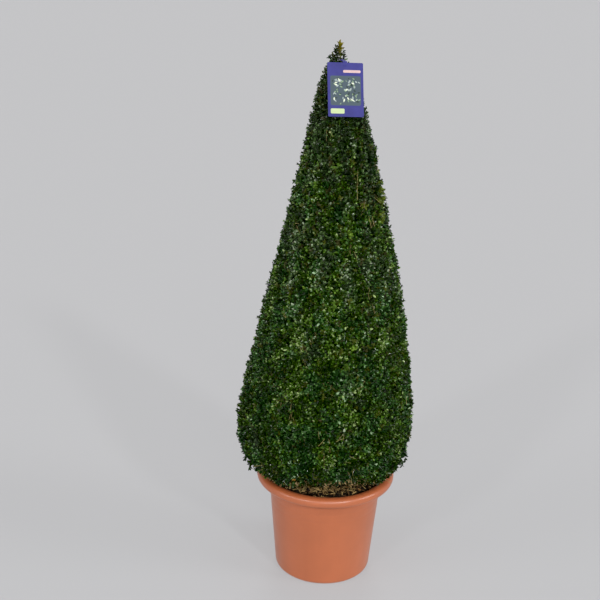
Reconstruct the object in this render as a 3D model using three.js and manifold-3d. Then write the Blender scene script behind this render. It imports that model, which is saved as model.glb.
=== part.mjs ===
// A boxwood clipped to a tall cone, growing in a terracotta-coloured plastic pot.
// Millimetres, +Z up, the front faces -Y. The origin is the middle of the pot's flat underside.
import * as THREE from 'three';
import { mergeVertices } from 'three/addons/utils/BufferGeometryUtils.js';
import Module from 'manifold-3d';

const wasm = await Module();
wasm.setup();

const GAP = 0.3;                  // clearance between two pieces that touch
const LEAF_CLEARANCE = 1.5;       // room that the leaves leave round the pot, soil and label
const SLIVER = 0.15;              // detail smaller than this is smoothed away after fusing
const SEED = 230;
const TAU = 2 * Math.PI;
const GOLDEN_ANGLE = Math.PI * (3 - Math.sqrt(5));

// Pot: one wall of even thickness, from the middle of the floor to the end of the rolled lip
const POT_HEIGHT = 314;
const POT_FOOT_RADIUS = 140.8;    // where the wall's slope would meet the ground
const POT_FLARE = 0.088;          // radius gained with each millimetre of height
const POT_WALL = 3.2;
const FOOT_ROUND = 11;            // rounding of the bottom edge
const RIM_RADIUS = 202.7;
const MOUTH_RADIUS = 175.7;
const LIP_DEPTH = 26;             // height of the rolled lip
const LIP_CROWN_RADIUS = 188;     // where the lip is highest
const LIP_FLARE = 36.4;           // height over which the wall turns outwards into the lip
const POT_SIDES = 36;
const DRAIN_HOLES = 6;
const DRAIN_RADIUS = 7;
const DRAIN_CIRCLE = 92;
const DRAIN_SIDES = 10;

// Soil and the short stem inside
const SOIL_TOP = 305;
const SOIL_EDGE = 296;            // height where the soil meets the pot
const STEM_TOP = 440;
const STEM_FLARE_RADIUS = 29;
const STEM_RADIUS = 17;
const STEM_TIP_RADIUS = 13;
const STEM_LEAN = 0.05;           // sideways travel with each millimetre of height
const STEM_SIDES = 14;
const STEM_RINGS = 7;
const ROOT_LOBES = 5;
const LOBE_SHARE = 0.16;          // how far a lobe of the root flare stands out, as a share
const LOBE_HEIGHT = 22;           // height over which the lobes fade

// Foliage: the outline that the leaf tips reach, as height and radius, from the skirt to the top
const OUTLINE = [
  [316, 108], [324, 168], [338, 208], [360, 236], [394, 251], [450, 255.5], [540, 250],
  [680, 228], [840, 198], [1000, 160], [1160, 125], [1320, 88], [1440, 56], [1503, 27],
];
// The crown isn't quite upright: sideways travel of its axis along X at some heights
const SWAY = [[300, -10], [420, -10], [660, 0], [920, 8], [1120, 7], [1260, 3], [1503, 0]];
const CORE_DEPTH = 17;            // thickness of the leafy layer on the core
const CORE_SIDES = 26;
const CORE_RINGS = 20;
const CORE_CROWDING = 1.25;       // above 1, the core's rings lie closer together at the skirt
const CORE_BUMP = 5;
const SPRIG_COUNT = 78;
const SPRIG_SINK = 14;            // how far a sprig's twig goes into the core
const SPRIG_LEAN = 0.45;          // how much a sprig leans away from the way out
const SPRIG_RISE = 0.45;          // how much sprigs above the skirt turn upwards
const SKIRT_HEIGHT = 400;
const SLIM_EXTRA = 30;            // added to the radius when sprigs are shared out, for a full top
// Shoots that the shears missed: angle round the crown, height of the root, outward share
const STRAY_SHOOTS = [[182, 366, 0.35], [193, 360, 0.3], [172, 372, 0.4], [-4, 346, 1.5], [-15, 350, 1.2]];
const STRAY_LENGTH = 44;
const TWIG_RADIUS = 1.9;
const LEAF_PAIRS = 2;
const LEAF_LENGTH = 40;
const LEAF_VARIATION = 0.3;       // spread of the leaves' lengths and angles, as a share
const LEAF_WIDTH = 0.52;          // as a share of the length
const LEAF_THICKNESS = 0.075;     // as a share of the length
const LEAF_SINK = 0.1;            // how far a leaf's root goes past the middle of its twig
const LEAF_SPREAD = 1.3;          // angle between a leaf and its twig, in radians
const TOP_SHRINK = 200;           // leaves get smaller over this last stretch of height
const SMALLEST_LEAF = 0.55;       // at the top, as a share

// Leader: the unclipped shoot at the very top
const LEADER_FOOT = 1489;
const LEADER_TIP = 1552;
const LEADER_RADIUS = 2.4;
const LEADER_PAIRS = 4;
const LEADER_BARE = 20;           // bare stretch that the label's eye goes round
const LEADER_LEAF = 21;

// Label: a thin card that hangs from the leader by a strap with an eye
const CARD_WIDTH = 95;
const CARD_HEIGHT = 139;
const CARD_THICKNESS = 1;
const CARD_CORNER = 3;
const CARD_LEAN = THREE.MathUtils.degToRad(18.5);
const CARD_ROLL = THREE.MathUtils.degToRad(1.5);
const LABEL_YAW = THREE.MathUtils.degToRad(15);
const LABEL_ARM = 42;             // from the leader's axis to the card's top edge
const CARD_TOP = 1496;
const EYE_HEIGHT = 1500;
const EYE_RADIUS = 8;
const STRAP_WIDTH = 11;
const STRAP_BEND = 3;             // how far behind the card's top edge the strap bends down
const STRAP_TUCK = 8;             // how far the strap runs down the card before it joins it

// A repeatable stream of numbers from 0 to 1.
function randomStream(seed) {
  let state = seed;
  return () => {
    state = (state + 0x6d2b79f5) | 0;
    let t = Math.imul(state ^ (state >>> 15), 1 | state);
    t = (t + Math.imul(t ^ (t >>> 7), 61 | t)) ^ t;
    return ((t ^ (t >>> 14)) >>> 0) / 4294967296;
  };
}

// A smooth curve through rows of [place, value], read at one place.
function along(rows, place) {
  const last = rows.length - 1;
  let i = 0;
  while (i < last - 1 && place > rows[i + 1][0]) i += 1;
  const [x0, y0] = rows[i];
  const [x1, y1] = rows[i + 1];
  const slope = (a, b) => (rows[b][1] - rows[a][1]) / (rows[b][0] - rows[a][0]);
  const before = slope(Math.max(i - 1, 0), i + 1);
  const after = slope(i, Math.min(i + 2, last));
  const width = x1 - x0;
  const t = THREE.MathUtils.clamp((place - x0) / width, 0, 1);
  const u = 1 - t;
  return y0 * u * u * (1 + 2 * t) + y1 * t * t * (3 - 2 * t) + width * t * u * (before * u - after * t);
}

// A closed geometry as a solid, moved by a matrix.
function solid(geometry, matrix = new THREE.Matrix4()) {
  const bare = geometry.clone().applyMatrix4(matrix);
  bare.deleteAttribute('normal');
  bare.deleteAttribute('uv');
  const merged = mergeVertices(bare, 1e-3);
  return new wasm.Manifold(new wasm.Mesh({
    numProp: 3,
    vertProperties: merged.attributes.position.array,
    triVerts: new Uint32Array(merged.index.array),
  }));
}

// The largest body of a solid, without the scraps and sealed hollows that fusing leaves.
function wholeBody(body) {
  return body.decompose().sort((a, b) => b.volume() - a.volume())[0];
}

function geometryOf(body) {
  const mesh = body.getMesh();
  const geometry = new THREE.BufferGeometry();
  geometry.setAttribute('position', new THREE.BufferAttribute(mesh.vertProperties, 3));
  geometry.setIndex(new THREE.BufferAttribute(mesh.triVerts, 1));
  geometry.computeVertexNormals();
  return geometry;
}

// A turned shape about Z, from rows of [radius, height] that start and end on the axis.
function turned(rows, sides) {
  const profile = rows.map(([radius, height]) => new THREE.Vector2(radius, height));
  return new THREE.LatheGeometry(profile, sides).rotateX(Math.PI / 2);
}

function piece(name, geometry, color, roughness) {
  const mesh = new THREE.Mesh(geometry, new THREE.MeshStandardMaterial({ color, roughness, metalness: 0 }));
  mesh.name = name;
  return mesh;
}

// Pot

// The middle line of the pot's wall, from the axis out, up the wall and over the lip.
function wallLine() {
  const half = POT_WALL / 2;
  const wallRadius = (height) => POT_FOOT_RADIUS - half + POT_FLARE * height;
  const lipStart = POT_HEIGHT - LIP_FLARE;
  const crown = POT_HEIGHT - half;
  const edge = RIM_RADIUS - half;
  const widest = POT_HEIGHT - LIP_DEPTH / 2 - 1;
  const innerHandle = 16;
  const outerHandle = 8;
  const endTuck = 1.5;
  const line = new THREE.Path();
  line.moveTo(0, half);
  line.lineTo(wallRadius(0) - FOOT_ROUND, half);
  line.quadraticCurveTo(wallRadius(half), half, wallRadius(FOOT_ROUND), FOOT_ROUND);
  line.lineTo(wallRadius(lipStart), lipStart);
  line.bezierCurveTo(
    wallRadius(lipStart + innerHandle), lipStart + innerHandle,
    MOUTH_RADIUS - 5, crown, LIP_CROWN_RADIUS, crown,
  );
  line.bezierCurveTo(LIP_CROWN_RADIUS + outerHandle, crown, edge, widest + outerHandle, edge, widest);
  line.lineTo(edge - endTuck, POT_HEIGHT - LIP_DEPTH);
  return line.getPoints(3).filter((point, i, all) => i === 0 || point.distanceTo(all[i - 1]) > 0.01);
}

// A line of points moved sideways: outwards and down where the distance is positive.
function offset(points, distance) {
  return points.map((point, i) => {
    const before = points[Math.max(i - 1, 0)];
    const after = points[Math.min(i + 1, points.length - 1)];
    const way = i === 0 ? after.clone().sub(point) : after.clone().sub(before);
    way.normalize();
    return [Math.max(point.x + way.y * distance, 0), point.y - way.x * distance];
  });
}

function potSolid(grow = 0) {
  const half = POT_WALL / 2 + grow;
  const line = wallLine();
  return solid(turned([...offset(line, half), ...offset(line, -half).reverse()], POT_SIDES));
}

function drainHoles() {
  const hole = new THREE.CylinderGeometry(DRAIN_RADIUS, DRAIN_RADIUS, 4 * POT_WALL, DRAIN_SIDES);
  hole.rotateX(Math.PI / 2);
  const holes = Array.from({ length: DRAIN_HOLES }, (_, i) => {
    const angle = (TAU * i) / DRAIN_HOLES;
    return solid(hole, new THREE.Matrix4().makeTranslation(
      DRAIN_CIRCLE * Math.cos(angle), DRAIN_CIRCLE * Math.sin(angle), 0,
    ));
  });
  return wasm.Manifold.union(holes);
}

// Soil and stem

// Rows of [radius, height] that rise, cut off where they reach a height.
function upTo(rows, height) {
  const over = rows.findIndex(([, z]) => z > height);
  const [[r0, z0], [r1, z1]] = rows.slice(over - 1, over + 1);
  return [...rows.slice(0, over), [r0 + ((r1 - r0) * (height - z0)) / (z1 - z0), height]];
}

function soilSolid(grow = 0) {
  const inside = upTo(offset(wallLine(), -(POT_WALL / 2 + GAP)), SOIL_EDGE);
  const edgeRadius = inside.pop()[0];
  const shoulder = [0.8 * edgeRadius, (SOIL_EDGE + SOIL_TOP) / 2];
  const top = [[edgeRadius, SOIL_EDGE], shoulder, [1.4 * STEM_FLARE_RADIUS, SOIL_TOP], [0, SOIL_TOP]];
  return solid(turned([...inside, ...top.map(([radius, height]) => [radius, height + grow])], POT_SIDES));
}

// A tapering stem with a lobed root flare, cut flat at the soil.
function stemSolid(grow = 0) {
  const foot = SOIL_TOP + GAP;
  const rows = [[0, foot]];
  for (let i = 0; i <= STEM_RINGS; i += 1) {
    const share = i / STEM_RINGS;
    const flare = (STEM_FLARE_RADIUS - STEM_RADIUS) * (1 - share) ** 5;
    const radius = STEM_RADIUS + (STEM_TIP_RADIUS - STEM_RADIUS) * share + flare;
    rows.push([radius + grow, foot + (STEM_TOP - foot) * share + (i === STEM_RINGS ? grow : 0)]);
  }
  rows.push([0, STEM_TOP + grow]);
  const geometry = turned(rows, STEM_SIDES);
  const place = geometry.attributes.position;
  for (let i = 0; i < place.count; i += 1) {
    const x = place.getX(i);
    const y = place.getY(i);
    const height = place.getZ(i) - foot;
    const wave = Math.sin(ROOT_LOBES * Math.atan2(y, x)) * Math.exp(-height / LOBE_HEIGHT);
    const lobes = 1 + LOBE_SHARE * wave;
    place.setX(i, x * lobes + STEM_LEAN * height);
    place.setY(i, y * lobes);
  }
  return solid(geometry);
}

// Foliage

// A point of the outline at a height and an angle, moved inwards by a depth, and its way out.
function crownPoint(height, angle, depth = 0) {
  const step = 2;
  const rise = (along(OUTLINE, height + step) - along(OUTLINE, height - step)) / (2 * step);
  const outwards = new THREE.Vector2(1, -rise).normalize();
  const radius = Math.max(along(OUTLINE, height) - depth * outwards.x, 0);
  const way = new THREE.Vector3(outwards.x * Math.cos(angle), outwards.x * Math.sin(angle), outwards.y);
  const z = height - depth * outwards.y;
  const point = new THREE.Vector3(
    radius * Math.cos(angle) + along(SWAY, height), radius * Math.sin(angle), z,
  );
  return { point, way };
}

// Heights that share the crown's surface evenly between a number of sprigs.
function evenHeights(count) {
  const low = OUTLINE[0][0];
  const high = OUTLINE[OUTLINE.length - 1][0];
  const steps = 600;
  const areas = [0];
  for (let i = 0; i < steps; i += 1) {
    const a = low + ((high - low) * i) / steps;
    const b = low + ((high - low) * (i + 1)) / steps;
    const [ra, rb] = [along(OUTLINE, a), along(OUTLINE, b)];
    areas.push(areas[i] + (SLIM_EXTRA + (ra + rb) / 2) * Math.hypot(b - a, rb - ra));
  }
  return Array.from({ length: count }, (_, n) => {
    const wanted = (areas[steps] * (n + 0.5)) / count;
    const i = areas.findIndex((area) => area > wanted);
    return low + ((high - low) * i) / steps;
  });
}

// The dense inside of the crown, a bumpy turned body below the leafy layer.
function coreSolid() {
  const low = OUTLINE[0][0];
  const high = OUTLINE[OUTLINE.length - 1][0];
  const rows = [];
  for (let i = 0; i < CORE_RINGS; i += 1) {
    const height = low + (high - low) * (i / (CORE_RINGS - 1)) ** CORE_CROWDING;
    const { point } = crownPoint(height, 0, CORE_DEPTH);
    rows.push([Math.max(point.x - along(SWAY, height), 3), point.z]);
  }
  const profile = [[0, rows[0][1]], ...rows, [0, rows[rows.length - 1][1]]];
  const geometry = turned(profile, CORE_SIDES);
  const place = geometry.attributes.position;
  for (let i = 0; i < place.count; i += 1) {
    const x = place.getX(i);
    const y = place.getY(i);
    const z = place.getZ(i);
    const angle = Math.atan2(y, x);
    const wave = Math.sin(3 * angle + z / 61) * Math.cos(4 * angle - z / 43);
    const radius = Math.hypot(x, y);
    const share = radius > 20 ? 1 + (CORE_BUMP * wave) / radius : 1;
    place.setX(i, x * share + along(SWAY, z));
    place.setY(i, y * share);
  }
  return solid(geometry);
}

const leafShape = new THREE.OctahedronGeometry(1, 0);
const twigShape = new THREE.ConeGeometry(1, 1, 3).translate(0, 0.5, 0);

// A matrix that stands a shape's Y axis along a way, turned about it, from a starting point.
function standing(point, way, turn, scale) {
  const swing = new THREE.Quaternion().setFromUnitVectors(new THREE.Vector3(0, 1, 0), way);
  const spin = new THREE.Quaternion().setFromAxisAngle(new THREE.Vector3(0, 1, 0), turn);
  return new THREE.Matrix4().compose(point, swing.multiply(spin), scale);
}

// A flat oval leaf of eight faces whose root goes through the twig at a knot.
function leafSolid(knot, way, turn, length) {
  const middle = knot.clone().addScaledVector(way, length / 2 - LEAF_SINK);
  const scale = new THREE.Vector3((LEAF_WIDTH * length) / 2, length / 2, (LEAF_THICKNESS * length) / 2);
  return solid(leafShape, standing(middle, way, turn, scale));
}

function twigSolid(root, way, length, radius) {
  return solid(twigShape, standing(root, way, 0, new THREE.Vector3(radius, length, radius)));
}

// A twig with opposite pairs of leaves, each pair a quarter turn from the last, and a tip leaf.
function sprigSolids(root, way, bare, length, leaf, random) {
  const side = new THREE.Vector3(0, 0, 1).cross(way).normalize();
  const other = way.clone().cross(side);
  const firstTurn = random() * TAU;
  const solids = [twigSolid(root, way, length, TWIG_RADIUS)];
  const varied = (size) => size * (1 + LEAF_VARIATION * (random() - 0.5));
  for (let i = 0; i < LEAF_PAIRS; i += 1) {
    const place = bare + ((length - bare) * (i + 0.3)) / (LEAF_PAIRS + 0.3);
    const knot = root.clone().addScaledVector(way, place);
    for (const half of [0, Math.PI]) {
      const turn = firstTurn + (i * Math.PI) / 2 + half + (random() - 0.5) * 0.5;
      const spread = varied(LEAF_SPREAD);
      const leafWay = way.clone().multiplyScalar(Math.cos(spread));
      leafWay.addScaledVector(side, Math.sin(spread) * Math.cos(turn));
      leafWay.addScaledVector(other, Math.sin(spread) * Math.sin(turn)).normalize();
      solids.push(leafSolid(knot, leafWay, random() * TAU, varied(leaf)));
    }
  }
  const tip = root.clone().addScaledVector(way, length * 0.8);
  solids.push(leafSolid(tip, way, random() * TAU, leaf * 0.8));
  return solids;
}

// The sprigs that stand out of the core and reach the outline all round.
function crownSprigs(random) {
  const heights = evenHeights(SPRIG_COUNT);
  return heights.flatMap((height, i) => {
    const depth = CORE_DEPTH + SPRIG_SINK;
    const { point, way } = crownPoint(height, i * GOLDEN_ANGLE, depth);
    const upwards = height > SKIRT_HEIGHT ? SPRIG_RISE : 0;
    const lean = new THREE.Vector3(random() - 0.5, random() - 0.5, upwards + random() - 0.5);
    const leaned = way.clone().addScaledVector(lean, SPRIG_LEAN).normalize();
    const belowTop = OUTLINE[OUTLINE.length - 1][0] - height;
    const leaf = LEAF_LENGTH * THREE.MathUtils.clamp(belowTop / TOP_SHRINK, SMALLEST_LEAF, 1);
    const length = depth / leaned.dot(way) - 0.55 * leaf;
    return sprigSolids(point, leaned, SPRIG_SINK, length, leaf, random);
  });
}

// The few shoots that hang out of the skirt past the clipped outline, left and right.
function strayShoots(random) {
  return STRAY_SHOOTS.flatMap(([degrees, height, outwards]) => {
    const angle = THREE.MathUtils.degToRad(degrees);
    const { point } = crownPoint(height, angle, CORE_DEPTH + 3);
    const way = new THREE.Vector3(outwards * Math.cos(angle), outwards * Math.sin(angle), -1).normalize();
    return sprigSolids(point, way, 0.45 * STRAY_LENGTH, STRAY_LENGTH, 0.6 * LEAF_LENGTH, random);
  });
}

// The whole clipped mass. A leaf or twig that would touch a neighbour is skipped.
function foliageSolid(neighbours) {
  const random = randomStream(SEED);
  const grown = [...crownSprigs(random), ...strayShoots(random)];
  const clear = grown.filter((part) => part.intersect(neighbours).isEmpty());
  const core = coreSolid().subtract(stemSolid(GAP)).subtract(neighbours);
  return wholeBody(wasm.Manifold.union([core, ...clear]).asOriginal().simplify(SLIVER));
}

// Leader

function leaderSolid() {
  const random = randomStream(SEED + 1);
  const foot = new THREE.Vector3(0, 0, LEADER_FOOT);
  const up = new THREE.Vector3(0, 0, 1);
  const length = LEADER_TIP - LEADER_LEAF * 0.55 - LEADER_FOOT;
  const stalk = new THREE.CylinderGeometry(0.5 * LEADER_RADIUS, LEADER_RADIUS, length, 6);
  const parts = [solid(stalk.rotateX(Math.PI / 2), new THREE.Matrix4().makeTranslation(
    0, 0, LEADER_FOOT + length / 2,
  ))];
  for (let i = 0; i < LEADER_PAIRS; i += 1) {
    const height = LEADER_BARE + ((length - LEADER_BARE) * (i + 0.2)) / LEADER_PAIRS;
    const knot = foot.clone().addScaledVector(up, height);
    for (const half of [0, Math.PI]) {
      const turn = i * (Math.PI / 2) + half + 0.4;
      const spread = 1 - 0.15 * i;
      const way = new THREE.Vector3(
        Math.sin(spread) * Math.cos(turn), Math.sin(spread) * Math.sin(turn), Math.cos(spread),
      );
      parts.push(leafSolid(knot, way, random() * TAU, LEADER_LEAF));
    }
  }
  const top = foot.clone().addScaledVector(up, length - 0.45 * LEADER_LEAF);
  parts.push(leafSolid(top, up, 0.6, LEADER_LEAF));
  return wholeBody(wasm.Manifold.union(parts));
}

// Label

function roundedCard(width, height, corner) {
  const [x, y] = [width / 2 - corner, height - corner];
  const outline = new THREE.Shape();
  outline.absarc(x, -corner, corner, Math.PI / 2, 0, true);
  outline.absarc(x, -y, corner, 0, -Math.PI / 2, true);
  outline.absarc(-x, -y, corner, -Math.PI / 2, -Math.PI, true);
  outline.absarc(-x, -corner, corner, Math.PI, Math.PI / 2, true);
  return outline;
}

// The card, its strap and the eye round the leader. Grown, it is the room that the label needs.
function labelSolid(grow = 0) {
  const thickness = CARD_THICKNESS + 2 * grow;
  const drop = CARD_TOP - EYE_HEIGHT;
  const flat = { depth: thickness, bevelEnabled: false, curveSegments: 3 };
  const card = new THREE.ExtrudeGeometry(
    roundedCard(CARD_WIDTH + 2 * grow, CARD_HEIGHT + 2 * grow, CARD_CORNER), flat,
  );
  card.translate(0, grow, -thickness / 2).rotateZ(-CARD_ROLL).rotateX(Math.PI / 2 - CARD_LEAN);
  card.translate(0, -LABEL_ARM, drop);

  const half = thickness / 2;
  const start = 2.5 - EYE_RADIUS;
  const bend = STRAP_BEND - LABEL_ARM;
  const end = -LABEL_ARM - STRAP_TUCK * Math.tan(CARD_LEAN);
  const run = new THREE.Shape();
  run.moveTo(start, -half);
  run.lineTo(bend, 0.4 * drop - half);
  run.lineTo(end, drop - STRAP_TUCK);
  run.lineTo(end - thickness, drop - STRAP_TUCK);
  run.lineTo(bend - thickness, 0.4 * drop + half);
  run.lineTo(start, half);
  const strapWidth = STRAP_WIDTH + 2 * grow;
  const strap = new THREE.ExtrudeGeometry(run, { depth: strapWidth, bevelEnabled: false });
  strap.translate(0, 0, -strapWidth / 2).rotateY(Math.PI / 2).rotateX(Math.PI / 2);

  const ring = new THREE.Shape();
  ring.absarc(0, 0, EYE_RADIUS + grow, 0, TAU);
  if (grow === 0) {
    const hole = new THREE.Path();
    hole.absarc(0, 0, LEADER_RADIUS + GAP, 0, TAU, true);
    ring.holes.push(hole);
  }
  const eye = new THREE.ExtrudeGeometry(ring, { depth: thickness, bevelEnabled: false, curveSegments: 8 });
  eye.translate(0, 0, -half);

  const yaw = new THREE.Matrix4().makeRotationZ(LABEL_YAW).setPosition(0, 0, EYE_HEIGHT);
  return wasm.Manifold.union([card, strap, eye].map((geometry) => solid(geometry, yaw)));
}

// The room round the leader that the crown's leaves keep out of.
function leaderRoom() {
  const length = LEADER_TIP - LEADER_FOOT;
  const radius = LEADER_RADIUS + LEAF_CLEARANCE;
  const room = new THREE.CylinderGeometry(radius, radius, length, 8);
  return solid(room.rotateX(Math.PI / 2), new THREE.Matrix4().makeTranslation(
    0, 0, LEADER_FOOT - GAP + length / 2,
  ));
}

const roomy = [potSolid, soilSolid, labelSolid].map((build) => build(LEAF_CLEARANCE));
const neighbours = wasm.Manifold.union([...roomy, stemSolid(GAP), leaderRoom()]);

const topiary = new THREE.Group();
topiary.add(
  piece('pot', geometryOf(potSolid().subtract(drainHoles())), 0xc0704f, 0.45),
  piece('soil', geometryOf(soilSolid()), 0x4a3524, 0.95),
  piece('stem', geometryOf(stemSolid()), 0x8b765a, 0.85),
  piece('foliage', geometryOf(foliageSolid(neighbours)), 0x24451a, 0.6),
  piece('leader', geometryOf(leaderSolid()), 0x75801f, 0.6),
  piece('label', geometryOf(labelSolid()), 0x3b4391, 0.35),
);

export default topiary;
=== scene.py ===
# A boxwood clipped to a tall cone, growing in a terracotta-coloured plastic pot.
# Metres, +Z up, the front faces -Y. The origin is the middle of the pot's flat underside.
import math

import bmesh
import bpy
import numpy as np
from mathutils import Matrix, Vector


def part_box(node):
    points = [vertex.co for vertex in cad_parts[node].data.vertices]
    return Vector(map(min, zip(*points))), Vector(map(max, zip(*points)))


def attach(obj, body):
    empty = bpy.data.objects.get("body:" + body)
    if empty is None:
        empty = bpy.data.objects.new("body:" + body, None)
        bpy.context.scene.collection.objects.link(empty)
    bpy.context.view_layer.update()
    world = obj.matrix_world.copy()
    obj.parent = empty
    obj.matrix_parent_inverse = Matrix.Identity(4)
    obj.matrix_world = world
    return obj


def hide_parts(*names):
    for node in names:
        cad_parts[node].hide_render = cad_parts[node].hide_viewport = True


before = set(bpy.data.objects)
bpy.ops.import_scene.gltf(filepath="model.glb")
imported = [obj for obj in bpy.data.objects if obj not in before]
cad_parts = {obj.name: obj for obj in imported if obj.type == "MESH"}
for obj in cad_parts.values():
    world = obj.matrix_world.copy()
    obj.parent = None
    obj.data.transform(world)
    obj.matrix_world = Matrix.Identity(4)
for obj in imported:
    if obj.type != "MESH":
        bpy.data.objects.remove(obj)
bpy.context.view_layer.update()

TAU = 2 * math.pi
QUARTER = math.pi / 2
GOLDEN_TURN = math.pi * (3 - math.sqrt(5))
SEED = 11
# Least length that is divided by
TINY = 1e-12

# Camera: where the photograph was taken from
CAMERA_PLACE = (0.0, -2.762, 1.779)
CAMERA_PITCH = math.radians(18.88)
CAMERA_YAW = math.radians(-1.85)
CAMERA_ROLL = math.radians(1.61)
CAMERA_LENS = 62.3
SENSOR_WIDTH = 36.0

# Light and floor. The sky is a little blue, and darkens over a band above the horizon
HORIZON = 0.56
CEILING = 0.14
SKY_BAND = (0.06, 0.3)
SKY_BLUE = 1.02
FLOOR_SHADE = (0.2, 0.2, 0.205)
FLOOR_GLOW = (0.346, 0.346, 0.352)
FLOOR_SIZE = 240.0
FLOOR_DROP = 0.0005
# Softboxes: name, azimuth from the front to the right, elevation, strength and width in degrees
SOFTBOXES = [
    ("key", 34, 29, 0.9, 6), ("second key", -32, 29, 0.6, 6), ("wide", 8, 28, 0.6, 26),
    ("front", 0, 8, 0.4, 50), ("left", -65, 26, 0.5, 20), ("right", 76, 26, 0.95, 20),
    ("top", 0, 82, 0.6, 60), ("back", 180, 30, 1.0, 30),
]
# Darkest tone that the camera still tells from black
BLACK_LEVEL = 0.002

# Pot, as the source has it
POT_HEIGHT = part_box("pot")[1].z
POT_FOOT_RADIUS = 0.1408
POT_FLARE = 0.088
POT_WALL = 0.0032
FOOT_ROUND = 0.011
RIM_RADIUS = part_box("pot")[1].x
MOUTH_RADIUS = 0.1757
LIP_DEPTH = 0.026
LIP_WIDEST = 0.014
LIP_CROWN_RADIUS = 0.188
LIP_FLARE = 0.0364
LIP_TUCK = 0.0065
# Pull of the lip's curves: out of the wall, short of the crown, round the shoulder and under the edge
LIP_PULLS = (0.016, 0.005, 0.008, 0.005)
POT_SIDES = 144
WALL_ROWS = 90
LIP_STEPS = 14
ROUND_STEPS = 8
WELD = 1e-6
RING_HEIGHTS = (0.216, 0.243)
RING_STEP = 0.0004
RING_WIDTH = 0.004
DRAIN_HOLES = 6
DRAIN_RADIUS = 0.007
DRAIN_CIRCLE = 0.092
DRILL_SIDES = 24
DRILL_DEPTH = 6 * POT_WALL

# Stem. Each ridge of its bark is a wave: how many go round, its climb and its start
STEM_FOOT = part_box("stem")[0].z
STEM_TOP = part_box("stem")[1].z
FLARE_RADIUS = 0.029
STEM_RADIUS = 0.017
STEM_TIP_RADIUS = 0.013
STEM_LEAN = 0.05
STEM_SIDES = 96
STEM_RINGS = 60
ROOT_LOBES = 5
LOBE_SHARE = 0.16
LOBE_HEIGHT = 0.022
BARK_RELIEF = 0.0012
BARK_WAVES = [(9, 40, 0), (14, -65, 1.3), (3, 230, 0)]

# Soil, and the mulch on it. Pairs are ranges
SOIL_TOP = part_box("soil")[1].z
SOIL_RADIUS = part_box("soil")[1].x
SOIL_EDGE = 0.296
SOIL_FLAT = 1.4 * FLARE_RADIUS
SOIL_BEND = 0.8 * SOIL_RADIUS
WALL_GAP = 0.0005
STEM_GAP = 0.004
LOOSE_MARGIN = 0.016
MULCH_DEPTH = 0.009
CHIPS = 1900
CHIP_SIZES = [(0.009, 0.026), (0.002, 0.006), (0.001, 0.003)]
CHIP_CORNER = (0.65, 1.1)
CHIP_LIFT = (0.0005, MULCH_DEPTH)
CHIP_MARGIN = 0.004
CHIP_TILT = 0.6
STRAWS = 460
STRAW_REACH = (0.006, 0.016)
STRAW_RADIUS = (0.0005, 0.001)
STRAW_BOW = (-0.001, 0.002)
STRAW_LIFT = (0.002, MULCH_DEPTH + 0.003)
STRAW_TILT = 0.55
FALLEN = 500
FALLEN_LENGTH = (0.01, 0.017)
FALLEN_FOLD = (0.1, 0.6)
FALLEN_CURL = (-0.3, 0.6)
FALLEN_LIFT = (0.003, MULCH_DEPTH + 0.004)
FALLEN_TILT = 0.35

# Leader: the unclipped shoot at the very top. Its leaves open less and less towards the tip
LEADER_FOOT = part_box("leader")[0].z
LEADER_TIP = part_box("leader")[1].z
LEADER_RADIUS = 0.0024
LEADER_TAPER = 0.4
LEADER_RINGS = 8
LEADER_LEAN = 0.005
LEADER_BARE = 0.006
LEADER_PAIRS = 13
LEADER_OLD_PAIRS = 5
LEADER_FIRST = 0.3
LEADER_LEAF = 0.017
SIDE_LEAF = 0.8
LEADER_TURN = 0.4
LEADER_OPENING = (1.1, 0.6)
LEADER_STRAY = 0.2
TOP_REACH = 0.65
TOP_LIFT = 0.002
TOP_TURN = 0.6
TOP_OPENING = 0.12

# Foliage. Angles round the crown are in degrees, from the right
# The outline that the leaf tips reach, as height and radius, from the skirt to the top
OUTLINE = np.array([
    [0.316, 0.108], [0.326, 0.162], [0.343, 0.198], [0.366, 0.222], [0.4, 0.242], [0.45, 0.254],
    [0.54, 0.249], [0.68, 0.227], [0.84, 0.197], [1.0, 0.159], [1.16, 0.124], [1.32, 0.087],
    [1.44, 0.055], [1.5, 0.024],
])
CROWN_FOOT, CROWN_TOP = OUTLINE[0, 0], OUTLINE[-1, 0]
# How far the crown's middle lies to the right, by height
SWAY = np.array([
    [0.3, -0.006], [0.38, -0.008], [0.45, -0.009], [0.66, 0.0], [0.92, 0.007], [1.12, 0.006],
    [1.26, 0.004], [1.34, 0.002], [1.44, -0.003], [1.5, -0.008],
])
# Radius that is added where growth is shared out, for the slim top
SLIM_EXTRA = 0.03
SURVEY_STEPS = 601
# Inner growth: depths below the outline, with the most of the radius that each may take
BOUGH_DEPTH = (0.085, 0.6)
FORK_DEPTH = (0.048, 0.7)
CORE_DEPTH = (0.036, 0.75)
TRUNK_TOP = LEADER_FOOT - 0.01
TRUNK_RINGS = 24
BOUGHS = 150
BOUGH_TOP = LEADER_FOOT - 0.03
BOUGH_RISE = 0.5
BOUGH_SAG = 0.02
BOUGH_THICKNESS = 0.5
BOUGH_TAPER = 0.5
BRANCHLETS = 1600
BRANCHLET_TURN = 0.3
BRANCHLET_SAG = 0.008
BRANCHLET_RADII = (0.0019, 0.0012)
CORE_GRID = 110
CORE_CROWDING = 1.25
CORE_BUMP = 0.005
CORE_WAVES = [(11, 70, 0), (8, -95, QUARTER)]
SHOOTS = 16000
SHOOT_STRAY = 0.003
SHOOT_REACH = 0.045
SHOOT_RISE = 0.7
SHOOT_SPREAD = 0.28
SHOOT_BEND = 0.45
TWIG_RADII = (0.0007, 0.00042)
TIP_DEPTH = (0.009, 0.0042)
LEAST_DEPTH = -0.0005
DEPTH_WAVER = 0.0015
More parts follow.
